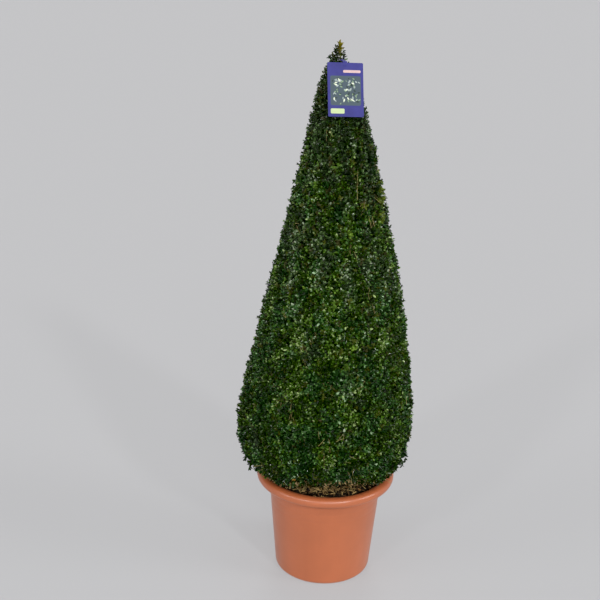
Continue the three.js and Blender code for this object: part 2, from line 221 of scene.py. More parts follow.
# Leaves along a shoot, and how far they stray
LEAF_PAIRS = 6
FIRST_KNOT = 0.001
KNOT_SPACING = 0.0036
UNEVEN = (0.85, 1.15)
LEAFY_SHARE = 0.92
LEAF_LENGTH = 0.0096
LEAF_STRAY = 0.13
LEAF_LIMITS = (0.6, 1.35)
LEAF_WIDTH = 0.54
YOUNGEST_LEAF = 0.72
SMALLEST_LEAF = 0.8
TOP_SHRINK = 0.2
TURN_STRAY = 0.25
# The angle at which a pair stands off its shoot, from the tip inwards
OPENINGS = np.array([[0, 0.4], [1, 0.65], [3, 0.9], [8, 1.1]])
OPENING_STRAY = 0.3
LEAF_ROLL = 0.35
LEAF_FOLD = (0.35, 0.2)
LEAF_CURL = (0.45, 0.25)
CURL_START = 0.35
# The skirt is clipped up over the pot's front, and hangs down beside it: angle, spread and lift
SKIRT_LIFTS = [(-80, 32, 0.021), (-142, 28, -0.013), (-28, 26, -0.013)]
LIFT_BY_HEIGHT = np.array([[0.318, 0.5], [0.345, 1], [0.4, 1], [0.5, 0]])
# Shoots that hang out of the skirt: angle, height, how far out and up per length
HANGING = [
    [172, 0.395, 0.15, -1], [184, 0.395, 0.1, -1], [193, 0.395, 0.05, -1], [206, 0.4, 0, -1],
    [-14, 0.424, 0.25, -1], [-23, 0.424, 0.25, -1], [-32, 0.43, 0.2, -1],
]
STRAY_DEPTH = 0.012
STRAY_LENGTH = 0.038
STRAY_BOW = 0.004
STRAY_LEAF = 1.3
# Tips of the upright sprigs round the foot of the leader
TOP_SPRIGS = np.array([
    [-0.015, -0.004, 1.534], [-0.028, 0.0, 1.506], [-0.011, 0.006, 1.526], [0.007, -0.004, 1.52],
    [0.008, 0.006, 1.512], [-0.01, -0.01, 1.512], [-0.003, 0.012, 1.528], [-0.022, 0.004, 1.512],
    [-0.006, -0.006, 1.53], [-0.016, 0.008, 1.52], [0.004, 0.004, 1.526], [-0.013, -0.012, 1.504],
])
SPRIG_FOOT = np.array([-0.006, 0.0, 1.474])
SPRIG_SPREAD = 0.4
SPRIG_BOW = 0.15
# Bare twigs that show between the leaves: angle and height of the groups that stand out
DRY_GROUPS = np.array([[-104.0, 0.812], [-112.0, 0.775], [-134.0, 0.85], [-88.0, 0.655]])
DRY_COUNT = 56
DRY_STRAY = 0.01
TWIGS_IN_GROUP = 4
TWIG_STRAY = (0.05, 0.012)
TWIG_MARGINS = (0.02, 0.04)
TWIG_DEPTH = (0.002, 0.007)
TWIG_LENGTH = (0.014, 0.032)
TWIG_OUT = 0.35
TWIG_UP = 0.8
TWIG_SPREAD = 0.35
TWIG_BOW = 0.002
LONG_TWIG = [[-65.6, 1.154], [-62.0, 1.23]]
# What leaves keep off the pot, the leader and the label
LEAF_GAP = 0.0012
LIP_GAP = 0.012
CARD_VIEW = 0.03
STRAP_GAP = 0.004

# Label
CARD_WIDTH = 0.095
CARD_HEIGHT = 0.139
CARD_THICKNESS = 0.001
CARD_LEAN = math.radians(18.5)
CARD_ROLL = math.radians(1.5)
LABEL_YAW = math.radians(15)
LABEL_ARM = 0.042
CARD_TOP = 1.496
EYE_HEIGHT = 1.5
STRAP_WIDTH = 0.011
INK = 0.00012
PRINT_SIDE = CARD_WIDTH / 2 - 0.007
PANEL_FOOT, PANEL_TOP = -0.11, -0.034
# Printed patches: name, left, right, foot, top and corner radius on the card, and colour
TAG_PATCHES = [
    ("tag_panel", -PRINT_SIDE, PRINT_SIDE, PANEL_FOOT, PANEL_TOP, 0.005, (0.066, 0.096, 0.118)),
    ("tag_band", -PRINT_SIDE, -0.004, -0.131, -0.118, 0.003, (0.55, 0.66, 0.36)),
    ("tag_bar", -0.006, PRINT_SIDE, -0.026, -0.019, 0.003, (0.66, 0.47, 0.46)),
]
CORNER_STEPS = 4
TAG_LEAF_LENGTH = (0.005, 0.01)
TAG_LEAF_WIDTH = 0.45
# Printed leaves: tint, colour and count
TAG_LEAVES = [
    ("deep", (0.03, 0.05, 0.04), 26), ("sage", (0.23, 0.33, 0.21), 30),
    ("grey", (0.38, 0.45, 0.44), 24), ("cream", (0.72, 0.78, 0.62), 12),
]

rng = np.random.default_rng(SEED)


# Mesh making from arrays

def linked(name, data):
    """A new object in the scene."""
    made = bpy.data.objects.new(name, data)
    bpy.context.scene.collection.objects.link(made)
    return made


def mesh_object(name, points, faces, material, smooth=True):
    """A mesh from an array of points, and one of faces that have the same number of corners."""
    points = np.asarray(points, np.float32).reshape(-1, 3)
    faces = np.asarray(faces, np.int32)
    mesh = bpy.data.meshes.new(name)
    mesh.vertices.add(len(points))
    mesh.vertices.foreach_set("co", points.ravel())
    mesh.loops.add(faces.size)
    mesh.loops.foreach_set("vertex_index", faces.ravel())
    mesh.polygons.add(len(faces))
    mesh.polygons.foreach_set("loop_start", np.arange(0, faces.size, faces.shape[1], dtype=np.int32))
    mesh.polygons.foreach_set("use_smooth", np.full(len(faces), smooth))
    mesh.update(calc_edges=True)
    mesh.materials.append(material)
    return linked(name, mesh)


def shape_object(name, shape):
    mesh = bpy.data.meshes.new(name)
    shape.to_mesh(mesh)
    shape.free()
    return linked(name, mesh)


def place(piece, slot, *nodes):
    """Fixes a finished piece to the plant and hides the CAD nodes that it stands for. The slot is not used.
    """
    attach(piece, "root")
    if nodes:
        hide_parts(*nodes)


def add(name, points, faces, material, slot, *nodes, smooth=True):
    place(mesh_object(name, points, faces, material, smooth), slot, *nodes)


def refinish(node, material):
    """A material for a CAD solid that stays."""
    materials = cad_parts[node].data.materials
    materials.clear()
    materials.append(material)


def unit(ways):
    return ways / np.maximum(np.linalg.norm(ways, axis=-1, keepdims=True), TINY)


def across(ways):
    """Two directions square to each way and to each other."""
    reference = np.where(np.abs(ways[..., 2:3]) < 0.95, [0.0, 0.0, 1.0], [1.0, 0.0, 0.0])
    first = unit(np.cross(reference, ways))
    return first, np.cross(ways, first)


def swung(first, second, turn):
    """The first direction turned towards the second, which is square to it."""
    return first * np.cos(turn)[..., None] + second * np.sin(turn)[..., None]


def circle(sides):
    return np.arange(sides) * TAU / sides


def polar(radius, angle, height):
    """Points round the Z axis."""
    return np.stack(np.broadcast_arrays(radius * np.cos(angle), radius * np.sin(angle), height), -1)


def ripple(waves, turn, up):
    """A relief of crossing waves, between -1 and 1."""
    return math.prod(np.sin(around * turn + climb * up + start) for around, climb, start in waves)


def ring_faces(rings, sides):
    """Four-cornered faces between rings of points."""
    ring, side = np.meshgrid(np.arange(rings - 1) * sides, np.arange(sides), indexing="ij")
    after = (side + 1) % sides
    corners = [ring + side, ring + after, ring + sides + after, ring + sides + side]
    return np.stack(corners, -1).reshape(-1, 4)


def repeated(faces, points, count):
    """The faces of one shape with a number of points, for many copies of it."""
    return (faces[None] + (np.arange(count) * points)[:, None, None]).reshape(-1, faces.shape[1])


def tubes(paths, start, end, sides):
    """Points and faces of tubes along paths of shape (tubes, rings, 3), from a start to an end radius."""
    count, rings, _ = paths.shape
    first, second = across(unit(np.gradient(paths, axis=1)))
    rim = swung(first[:, :, None], second[:, :, None], circle(sides))
    points = paths[:, :, None] + rim * np.linspace(start, end, rings, axis=-1)[..., None, None]
    return points.reshape(-1, 3), repeated(ring_faces(rings, sides), rings * sides, count)


def bend(start, control, end, t):
    return start * (1 - t) ** 2 + control * 2 * t * (1 - t) + end * t ** 2


def bends(starts, controls, ends, rings):
    """Paths from starts to ends, each bent towards its control."""
    return bend(starts[:, None], controls[:, None], ends[:, None], np.linspace(0, 1, rings)[None, :, None])


def turned(profile, sides):
    """Points and faces of a shape turned about Z, from rows of radius and height."""
    radius, height = np.asarray(profile).T
    points = polar(radius[:, None], circle(sides), height[:, None])
    return points, ring_faces(len(profile), sides)


LEAF_SHAPE = np.array([[0.0, 0.0], [0.3, -0.48], [0.72, -0.42], [1.0, 0.0], [0.72, 0.42], [0.3, 0.48]])
LEAF_FACES = np.array([[0, corner, corner + 1] for corner in range(1, 5)])


def leaf_points(roots, ways, faces_up, lengths, fold, curl):
    """Corner points of oval leaves, folded along the middle and curled at the tip."""
    side = np.cross(faces_up, ways)
    along_leaf, aside = (LEAF_SHAPE * [1, LEAF_WIDTH]).T[:, None, :, None]
    lift = fold[:, None, None] * np.abs(aside) - curl[:, None, None] * (along_leaf - CURL_START) ** 2
    local = ways[:, None] * along_leaf + side[:, None] * aside + faces_up[:, None] * lift
    return roots[:, None] + local * lengths[:, None, None]


def add_leaves(name, points, material, slot, *nodes):
    add(name, points, repeated(LEAF_FACES, len(LEAF_SHAPE), len(points)), material, slot, *nodes)


# Materials

# Nearly all of a noise's values lie in this range
NOISE_SPAN = (0.3, 0.7)


class Nodes:
    """A material with a Principled shader, and short calls for the nodes that feed it."""

    def __init__(self, name, colour, roughness, specular=0.5):
        self.material = bpy.data.materials.new(name)
        self.material.use_nodes = True
        self.tree = self.material.node_tree
        self.shader = self.tree.nodes["Principled BSDF"]
        self.shader.inputs["Base Color"].default_value = (*colour, 1)
        self.shader.inputs["Roughness"].default_value = roughness
        self.shader.inputs["Specular IOR Level"].default_value = specular
        self.material.diffuse_color = (*colour, 1)

    def new(self, kind, **inputs):
        """A node with values for its inputs."""
        node = self.tree.nodes.new("ShaderNode" + kind)
        for name, value in inputs.items():
            node.inputs[name].default_value = value
        return node

    def link(self, output, target):
        self.tree.links.new(output, target)

    def noise(self, scale, detail=3.0, stretch=(1, 1, 1)):
        mapping = self.new("Mapping", Scale=stretch)
        self.link(self.new("TexCoord").outputs["Object"], mapping.inputs["Vector"])
        noise = self.new("TexNoise", Scale=scale, Detail=detail, Roughness=0.55)
        self.link(mapping.outputs["Vector"], noise.inputs["Vector"])
        return noise.outputs["Fac"]

    def ramp(self, value, *stops):
        """Colours along a value: each stop is a place and a colour."""
        ramp = self.new("ValToRGB")
        while len(ramp.color_ramp.elements) < len(stops):
            ramp.color_ramp.elements.new(0.5)
        for element, (where, colour) in zip(ramp.color_ramp.elements, stops):
            element.position = where
            element.color = (*colour, 1)
        self.link(value, ramp.inputs["Fac"])
        return ramp.outputs["Color"]

    def about(self, colour, noise, contrast):
        """A colour that wavers to both sides of a middle one."""
        low, high = NOISE_SPAN
        return self.ramp(noise, (low, shade(colour, 1 - contrast)), (high, shade(colour, 1 + contrast)))

    def spread(self, noise, low, high):
        """A noise moved to another range."""
        ends = dict(zip(("From Min", "From Max", "To Min", "To Max"), (*NOISE_SPAN, low, high)))
        span = self.new("MapRange", **ends)
        self.link(noise, span.inputs["Value"])
        return span.outputs["Result"]

    def multiply(self, first, second):
        mix = self.new("Mix")
        mix.data_type = "RGBA"
        mix.blend_type = "MULTIPLY"
        mix.inputs["Factor"].default_value = 1
        self.link(first, mix.inputs["A"])
        self.link(second, mix.inputs["B"])
        return mix.outputs["Result"]

    def colour(self, output):
        self.link(output, self.shader.inputs["Base Color"])

    def bump(self, value, distance):
        bump = self.new("Bump", Distance=distance, Strength=1.0)
        self.link(value, bump.inputs["Height"])
        self.link(bump.outputs["Normal"], self.shader.inputs["Normal"])


def shade(colour, share):
    return tuple(min(channel * share, 1.0) for channel in colour)


def mottled(name, colour, roughness, scale, contrast, bump=0.0, specular=0.5):
    """A material whose colour wavers about a middle one, with a relief of the same pattern."""
    made = Nodes(name, colour, roughness, specular)
    noise = made.noise(scale, detail=4.0)
    made.colour(made.about(colour, noise, contrast))
    if bump:
        made.bump(noise, bump)
    return made.material


def pot_plastic():
    """Satin moulded plastic: cloudy colour, faint streaks down the wall and an uneven gloss."""
    colour = (0.472, 0.13, 0.047)
    made = Nodes("terracotta plastic", colour, 0.35, 0.75)
    cloudy = made.about(colour, made.noise(7.0, detail=5.0), 0.07)
    streak = made.noise(9.0, stretch=(4, 4, 0.35))
    streaks = made.ramp(streak, (0.35, (0.97, 0.97, 0.975)), (0.7, (1.0, 1.0, 1.0)))
    made.colour(made.multiply(cloudy, streaks))
    made.link(made.spread(made.noise(22.0, detail=4.0), 0.31, 0.38), made.shader.inputs["Roughness"])
    return made.material


def wet_soil():
    made = Nodes("potting soil", (0.03, 0.02, 0.013), 0.9, 0.2)
    grain = made.noise(260.0, detail=6.0)
    made.colour(made.ramp(
        grain, (0.3, (0.008, 0.005, 0.003)), (0.6, (0.035, 0.022, 0.013)), (0.8, (0.09, 0.06, 0.035)),
    ))
    made.bump(grain, 0.004)
    return made.material


def bark():
    made = Nodes("bark", (0.25, 0.19, 0.12), 0.85, 0.2)
    ridges = made.noise(120.0, detail=6.0, stretch=(1, 1, 0.25))
    made.colour(made.ramp(
        ridges, (0.3, (0.07, 0.05, 0.032)), (0.55, (0.24, 0.18, 0.115)), (0.75, (0.36, 0.29, 0.19)),
    ))
    made.bump(ridges, 0.001)
    return made.material


def leaf_tint(name, colour, roughness=0.15, specular=0.34):
    return Nodes(name, colour, roughness, specular).material


def card_finish(name, colour, scale, contrast):
    return mottled(name, colour, 0.45, scale, contrast, specular=0.15)


def floor_material():
    """A pale floor that is lit from within as well, so that shadows on it stay faint."""
    made = Nodes("studio floor", FLOOR_SHADE, 0.9, 0.0)
    made.colour(made.ramp(made.noise(1.5), (0.0, FLOOR_SHADE), (1.0, shade(FLOOR_SHADE, 1.004))))
    made.shader.inputs["Emission Color"].default_value = (*FLOOR_GLOW, 1)
    made.shader.inputs["Emission Strength"].default_value = 1
    return made.material


# Camera, light and floor

def make_camera():
    yawed = Matrix.Translation(CAMERA_PLACE) @ Matrix.Rotation(-CAMERA_YAW, 4, "Z")
    pitched = yawed @ Matrix.Rotation(QUARTER - CAMERA_PITCH, 4, "X")
    camera = linked("camera", bpy.data.cameras.new("camera"))
    camera.data.sensor_width = SENSOR_WIDTH
    camera.data.lens = CAMERA_LENS
    camera.matrix_world = pitched @ Matrix.Rotation(CAMERA_ROLL, 4, "Z")
    bpy.context.scene.camera = camera


def sun(name, azimuth, elevation, strength, width):
    """A wide soft light from far away."""
    made = linked(name, bpy.data.lights.new(name, "SUN"))
    made.data.energy = strength
    made.data.angle = math.radians(width)
    up = math.radians(elevation)
    source = Vector(polar(math.cos(up), math.radians(azimuth) - QUARTER, math.sin(up)))
    made.rotation_mode = "QUATERNION"
    made.rotation_quaternion = source.to_track_quat("Z", "Y")


def make_studio():
    scene = bpy.context.scene
    view = scene.view_settings
    view.view_transform = "Standard"
    view.use_curve_mapping = True
    view.curve_mapping.black_level = [BLACK_LEVEL] * 3
    scene.world = bpy.data.worlds.new("studio")
    scene.world.use_nodes = True
    tree = scene.world.node_tree
    kinds = ("TexCoord", "SeparateXYZ", "ValToRGB")
    way, split, ramp = [tree.nodes.new("ShaderNode" + kind) for kind in kinds]
    for element, place_up, grey in zip(ramp.color_ramp.elements, SKY_BAND, (HORIZON, CEILING)):
        element.position = place_up
        element.color = (grey, grey, SKY_BLUE * grey, 1)
    tree.links.new(way.outputs["Generated"], split.inputs["Vector"])
    tree.links.new(split.outputs["Z"], ramp.inputs["Fac"])
    tree.links.new(ramp.outputs["Color"], tree.nodes["Background"].inputs["Color"])
    for softbox in SOFTBOXES:
        sun(*softbox)
    half = FLOOR_SIZE / 2
    corners = [[-half, -half, 0], [half, -half, 0], [half, half, 0], [-half, half, 0]]
    floor = mesh_object("floor", corners, [[0, 1, 2, 3]], floor_material())
    floor.location.z = -FLOOR_DROP


# Pot

def arc(start, handle_a, handle_b, end, steps):
    """Points of a curve, without its start, that leaves towards one handle and arrives from the other."""
    t = np.linspace(0, 1, steps + 1)[1:]
    weights = np.stack([(1 - t) ** 3, 3 * t * (1 - t) ** 2, 3 * t * t * (1 - t), t ** 3], 1)
    return weights @ np.array([start, handle_a, handle_b, end])


def wall_line():
    """The middle line of the pot's wall, from the axis out, up the wall and over the lip."""
    half = POT_WALL / 2

    def wall(height):
        return [POT_FOOT_RADIUS - half + POT_FLARE * height, height]

    rise, inner, shoulder, under = LIP_PULLS
    lip_start = POT_HEIGHT - LIP_FLARE
    top = POT_HEIGHT - half
    crown = [LIP_CROWN_RADIUS, top]
    edge = RIM_RADIUS - half
    widest = POT_HEIGHT - LIP_WIDEST
    lip_end = [edge - LIP_TUCK, POT_HEIGHT - LIP_DEPTH]
    tucked = [edge - 0.3 * LIP_TUCK, widest - 2 * under]
    foot_in = [wall(0)[0] - FOOT_ROUND, half]
    foot_out = wall(FOOT_ROUND)
    handles = [[(a + 2 * c) / 3 for a, c in zip(foot, wall(half))] for foot in (foot_in, foot_out)]
    heights = np.linspace(FOOT_ROUND, lip_start, WALL_ROWS)[1:]
    return np.concatenate([
        [[0.0, half], [DRAIN_CIRCLE, half], foot_in],
        arc(foot_in, *handles, foot_out, ROUND_STEPS),
        np.stack(wall(heights), 1),
        arc(wall(lip_start), wall(lip_start + rise), [MOUTH_RADIUS - inner, top], crown, LIP_STEPS),
        arc(crown, [LIP_CROWN_RADIUS + shoulder, top], [edge, widest + shoulder], [edge, widest], LIP_STEPS),
        arc([edge, widest], [edge, widest - under], tucked, lip_end, ROUND_STEPS),
    ])


def offset(line, distance):
    """A line moved sideways: outwards and down where the distance is positive."""
    way = unit(np.gradient(line, axis=0))
    way[0] = [1, 0]
    moved = line + np.stack([way[:, 1], -way[:, 0]], 1) * distance
    moved[:, 0] = np.maximum(moved[:, 0], 0)
    return moved


def make_pot():
    line = wall_line()
    outside = offset(line, POT_WALL / 2)
    for height in RING_HEIGHTS:
        outside[:, 0] -= RING_STEP * np.exp(-(((outside[:, 1] - height) / RING_WIDTH) ** 2))
    profile = np.concatenate([outside, offset(line, -POT_WALL / 2)[::-1]])
    pot = mesh_object("pot_shell", *turned(profile, POT_SIDES), pot_plastic())
    shape = bmesh.new()
    shape.from_mesh(pot.data)
    bmesh.ops.remove_doubles(shape, verts=shape.verts, dist=WELD)
    bmesh.ops.recalc_face_normals(shape, faces=shape.faces)
    shape.to_mesh(pot.data)
    shape.free()
    drill_pot(pot)
    place(pot, "pot_plastic", "pot")


def drill_pot(pot):
    """Cuts the drain holes through the pot's floor."""
    drills = bmesh.new()
    for i in range(DRAIN_HOLES):
        middle = polar(DRAIN_CIRCLE, TAU * i / DRAIN_HOLES, 0)
        bmesh.ops.create_cone(
            drills, cap_ends=True, segments=DRILL_SIDES, radius1=DRAIN_RADIUS, radius2=DRAIN_RADIUS,
            depth=DRILL_DEPTH, matrix=Matrix.Translation(middle),
        )
    cutter = shape_object("drills", drills)
    cut = pot.modifiers.new("holes", "BOOLEAN")
    cut.operation = "DIFFERENCE"
    cut.object = cutter
    cut.solver = "EXACT"
    bpy.context.view_layer.update()
    drilled = bpy.data.meshes.new_from_object(pot.evaluated_get(bpy.context.evaluated_depsgraph_get()))
    pot.modifiers.clear()
    pot.data = drilled
    bpy.data.objects.remove(cutter)


# Soil and mulch

def soil_height(radius):
    """Height of the soil's surface, as the source has it."""
    rows = [0, SOIL_FLAT, SOIL_BEND, SOIL_RADIUS]
    return np.interp(radius, rows, [SOIL_TOP, SOIL_TOP, (SOIL_TOP + SOIL_EDGE) / 2, SOIL_EDGE])


def scatter(count, margin, lift):
    """Places just above the soil, evenly spread between the stem and the pot."""
    inner, outer = FLARE_RADIUS + STEM_GAP, SOIL_RADIUS - margin
    radius = np.sqrt(rng.uniform(inner ** 2, outer ** 2, count))
    angle = rng.uniform(0, TAU, count)
    return polar(radius, angle, soil_height(radius) + rng.uniform(*lift, count))


def lying(count, tilt):
    """Random directions that lie nearly flat, and the upward side of each."""
    turn = rng.uniform(0, TAU, count)
    slope = rng.normal(0, tilt, count)
    ways = polar(np.cos(slope), turn, np.sin(slope))
    lean = rng.normal(0, tilt, (count, 3)) + [0, 0, 1]
    ups = unit(lean - ways * np.sum(lean * ways, 1, keepdims=True))
    return ways, ups


def within_pot(points):
    """Points moved inwards where they would reach into the pot's wall."""
    radius = np.hypot(points[..., 0:1], points[..., 1:2])
    points[..., :2] *= np.minimum(1, (SOIL_RADIUS - WALL_GAP) / np.maximum(radius, TINY))
    return points


CHIP_CORNERS = np.array([
    [-0.5, -0.5, -0.5], [0.5, -0.35, -0.5], [0.42, 0.5, -0.5], [-0.45, 0.4, -0.5],
    [-0.45, -0.42, 0.5], [0.4, -0.3, 0.5], [0.36, 0.42, 0.5], [-0.4, 0.36, 0.5],
])
CHIP_FACES = np.array([[0, 3, 2, 1], [4, 5, 6, 7], [0, 1, 5, 4], [1, 2, 6, 5], [2, 3, 7, 6], [3, 0, 4, 7]])


def make_chips(name, share, colour, shortening=1.0):
    """Splinters of bark and wood on the soil, each its own uneven wedge."""
    count = int(CHIPS * share)
    middles = scatter(count, CHIP_MARGIN, CHIP_LIFT)
    ways, ups = lying(count, CHIP_TILT)
    sizes = np.stack([rng.uniform(*span, count) for span in CHIP_SIZES], 1) * [shortening, 1, 1]
    corners = CHIP_CORNERS[None] * rng.uniform(*CHIP_CORNER, (count, 8, 3)) * sizes[:, None]
    points = within_pot(middles[:, None] + corners @ np.stack([ways, np.cross(ups, ways), ups], 1))
    faces = repeated(CHIP_FACES, len(CHIP_CORNERS), count)
    material = mottled(name, colour, 0.8, 160, 0.35, bump=0.0008, specular=0.25)
    add(name, points, faces, material, "potting_soil", smooth=False)


def make_straw():
    """Thin dry stalks lying about on the mulch."""
    middles = scatter(STRAWS, LOOSE_MARGIN, STRAW_LIFT)
    ways, ups = lying(STRAWS, STRAW_TILT)
    reach = ways * rng.uniform(*STRAW_REACH, (STRAWS, 1))
    bowed = middles + ups * rng.uniform(*STRAW_BOW, (STRAWS, 1))
    paths = bends(middles - reach, bowed, middles + reach, rings=4)
    radius = rng.uniform(*STRAW_RADIUS, STRAWS)
    material = mottled("straw", (0.54, 0.385, 0.145), 0.7, 220, 0.3, specular=0.3)
    add("mulch_straw", *tubes(paths, radius, radius, sides=4), material, "potting_soil")


def make_fallen_leaves(name, share, colour):
    count = int(FALLEN * share)
    roots = scatter(count, LOOSE_MARGIN, FALLEN_LIFT)
    ways, ups = lying(count, FALLEN_TILT)
    lengths, fold, curl = [rng.uniform(*span, count) for span in (FALLEN_LENGTH, FALLEN_FOLD, FALLEN_CURL)]
    points = leaf_points(roots, ways, ups, lengths, fold, curl)
    add_leaves(name, points, leaf_tint(name, colour, roughness=0.6, specular=0.3), "potting_soil")


def make_mulch():
    refinish("soil", wet_soil())
    make_chips("mulch_pale", 0.18, (0.55, 0.37, 0.145), shortening=0.8)
    make_chips("mulch_brown", 0.24, (0.1, 0.052, 0.018))
    make_chips("mulch_dark", 0.58, (0.01, 0.006, 0.003))
    make_straw()
    make_fallen_leaves("fallen_tan", 0.7, (0.26, 0.17, 0.07))
    make_fallen_leaves("fallen_amber", 0.3, (0.2, 0.095, 0.028))


# Stem

def make_stem():
    """The short stem with its root flare, and ridges of bark that stay within the CAD stem."""
    share = np.linspace(0, 1, STEM_RINGS)
    height = STEM_FOOT + (STEM_TOP - STEM_FOOT) * share
    flare = (FLARE_RADIUS - STEM_RADIUS) * (1 - share) ** 5
    radius = STEM_RADIUS + (STEM_TIP_RADIUS - STEM_RADIUS) * share + flare - BARK_RELIEF
    rows = np.concatenate([[[0, STEM_FOOT]], np.stack([radius, height], 1), [[0, STEM_TOP]]])
    points, faces = turned(rows, STEM_SIDES)
    turn = np.arctan2(points[..., 1], points[..., 0])
    up = points[..., 2] - STEM_FOOT
    lobes = 1 + LOBE_SHARE * np.sin(ROOT_LOBES * turn) * np.exp(-up / LOBE_HEIGHT)
    reach = np.maximum(np.hypot(points[..., 0], points[..., 1]), TINY)
    points[..., :2] *= (lobes + BARK_RELIEF * ripple(BARK_WAVES, turn, up) / reach)[..., None]
    points[..., 0] += STEM_LEAN * up
    add("stem_bark", points, faces, bark(), "bark", "stem")


# Foliage

def along(rows, where):
    """A smooth curve through rows of place and value, read at several places."""
    where = np.asarray(where, float)
    last = len(rows) - 1
    i = np.clip(np.searchsorted(rows[:, 0], where) - 1, 0, last - 1)
    before, after = np.maximum(i - 1, 0), np.minimum(i + 2, last)
    slope_a = (rows[i + 1, 1] - rows[before, 1]) / (rows[i + 1, 0] - rows[before, 0])
    slope_b = (rows[after, 1] - rows[i, 1]) / (rows[after, 0] - rows[i, 0])
    width = rows[i + 1, 0] - rows[i, 0]
    t = np.clip((where - rows[i, 0]) / width, 0, 1)
    u = 1 - t
    smooth = rows[i, 1] * u * u * (1 + 2 * t) + rows[i + 1, 1] * t * t * (3 - 2 * t)
    return smooth + width * t * u * (slope_a * u - slope_b * t)


def off_by(angle, degrees):
    """How far angles round the crown lie from one in degrees, to either side."""
    return np.angle(np.exp(1j * (angle - math.radians(degrees))))


def skirt_lift(height, angle):
    """How far the skirt is clipped above the outline."""
    total = 0
    for degrees, spread, lift in SKIRT_LIFTS:
        total = total + lift * np.exp(-(off_by(angle, degrees) / math.radians(spread)) ** 4)
    return total * np.interp(height, *LIFT_BY_HEIGHT.T)


def crown_point(height, angle, depth):
    """Points of the outline moved inwards by a depth, and the way out at each."""
    step = 0.002
    rise = (along(OUTLINE, height + step) - along(OUTLINE, height - step)) / (2 * step)
    out = 1 / np.sqrt(1 + rise ** 2)
    up = -rise * out
    radius = np.maximum(along(OUTLINE, height) - depth * out, 0)
    points = polar(radius, angle, height - depth * up + skirt_lift(height, angle))
    points[..., 0] += along(SWAY, height)
    return points, polar(out, angle, up)


def crown_spot(degrees, height, depth):
    return crown_point(height, math.radians(degrees), depth)[0]


def inner_depth(height, depth, most):
    return np.minimum(depth, most * along(OUTLINE, height))


def even_spots(count):
    """Heights and angles of sprigs that are spread evenly over the crown."""
    steps = np.linspace(CROWN_FOOT, CROWN_TOP, SURVEY_STEPS)
    radius = along(OUTLINE, steps)
    middle = (radius[1:] + radius[:-1]) / 2
    area = (SLIM_EXTRA + middle) * np.hypot(np.diff(steps), np.diff(radius))
    total = np.concatenate([[0], np.cumsum(area)])
    wanted = total[-1] * (np.arange(count) + 0.5) / count
    return np.interp(wanted, total, steps), np.arange(count) * GOLDEN_TURN


# Patterns round the crown: how many waves, the most lobes of each, and how fast they climb
DEPTH_PATTERN = (6, 8, 60)
LIGHT_PATTERN = (16, 18, 50)
CAST_PATTERN = (16, 18, 55)


def waver(pattern, angle, height):
    """A smooth random pattern round the crown, with a spread of about one."""
    count, most_lobes, climbing = pattern
    value = np.zeros(np.shape(angle))
    for _ in range(count):
        lobes = rng.integers(1, most_lobes + 1)
        climb = rng.normal(0, climbing)
        value = value + np.sin(lobes * angle + climb * height + rng.uniform(0, TAU))
    return value / math.sqrt(count / 2)


def grow_boughs():
    """The trunk line inside the crown, and boughs from it to below the surface. Returns the boughs' ends."""
    heights = np.linspace(STEM_TOP, TRUNK_TOP, TRUNK_RINGS)
    share = np.linspace(0, 1, TRUNK_RINGS)
    lean = STEM_LEAN * (STEM_TOP - STEM_FOOT) * (1 - share)
    trunk = np.stack([lean + along(SWAY, heights) * share, 0 * heights, heights], 1)
    height, angle = even_spots(BOUGHS)
    ends, _ = crown_point(height, angle, inner_depth(height, *BOUGH_DEPTH))
    root_height = np.clip(ends[:, 2] - BOUGH_RISE * np.hypot(ends[:, 0], ends[:, 1]), STEM_TOP, BOUGH_TOP)
    roots = np.stack([np.interp(root_height, heights, trunk[:, 0]), 0 * root_height, root_height], 1)
    paths = bends(roots, (roots + ends) / 2 - [0, 0, BOUGH_SAG], ends, rings=6)
    trunk_radii = (STEM_TIP_RADIUS, LEADER_RADIUS)
    thick = BOUGH_THICKNESS * np.interp(root_height, (STEM_TOP, TRUNK_TOP), trunk_radii)
    trunk_points, trunk_faces = tubes(trunk[None], *trunk_radii, sides=10)
    points, faces = tubes(paths, thick, BOUGH_TAPER * thick, sides=6)
    faces = np.concatenate([trunk_faces, faces + len(trunk_points)])
    add("boughs", np.concatenate([trunk_points, points]), faces, bark(), "bark", "foliage")
    return ends


def nearest(places, points):
    """The nearest of several places to each point."""
    return places[[np.argmin(np.sum((places - point) ** 2, axis=1)) for point in points]]


def grow_branchlets(bough_ends):
    """Branchlets from the nearest bough's end to where they fork, spread evenly round the crown."""
    height, angle = even_spots(BRANCHLETS)
    depth = inner_depth(height, *FORK_DEPTH) * rng.uniform(*UNEVEN, BRANCHLETS)
    forks, _ = crown_point(height, angle + BRANCHLET_TURN, depth)
    roots = nearest(bough_ends, forks)
    paths = bends(roots, (roots + forks) / 2 - [0, 0, BRANCHLET_SAG], forks, rings=4)
    add("branchlets", *tubes(paths, *BRANCHLET_RADII, sides=4), bark(), "bark", "foliage")
    return forks


def grow_shoots(forks):
    """Shoots from forks to the clipped outline, evenly spread, that rise towards their tips."""
    height, angle = even_spots(SHOOTS)
    height = np.clip(height + rng.normal(0, SHOOT_STRAY, SHOOTS), CROWN_FOOT, CROWN_TOP)
    angle = angle + rng.normal(0, SHOOT_STRAY, SHOOTS) / np.maximum(along(OUTLINE, height), SLIM_EXTRA)
    depth = rng.normal(*TIP_DEPTH, SHOOTS) + DEPTH_WAVER * waver(DEPTH_PATTERN, angle, height)
    tips, ways = crown_point(height, angle, np.maximum(depth, LEAST_DEPTH))
    lean = unit(ways + [0, 0, SHOOT_RISE] + rng.normal(0, SHOOT_SPREAD, (SHOOTS, 3)))
    roots = nearest(forks, tips - unit(ways + lean) * SHOOT_REACH)
    controls = tips - lean * SHOOT_BEND * np.linalg.norm(tips - roots, axis=1)[:, None]
    return roots, controls, tips, height, angle


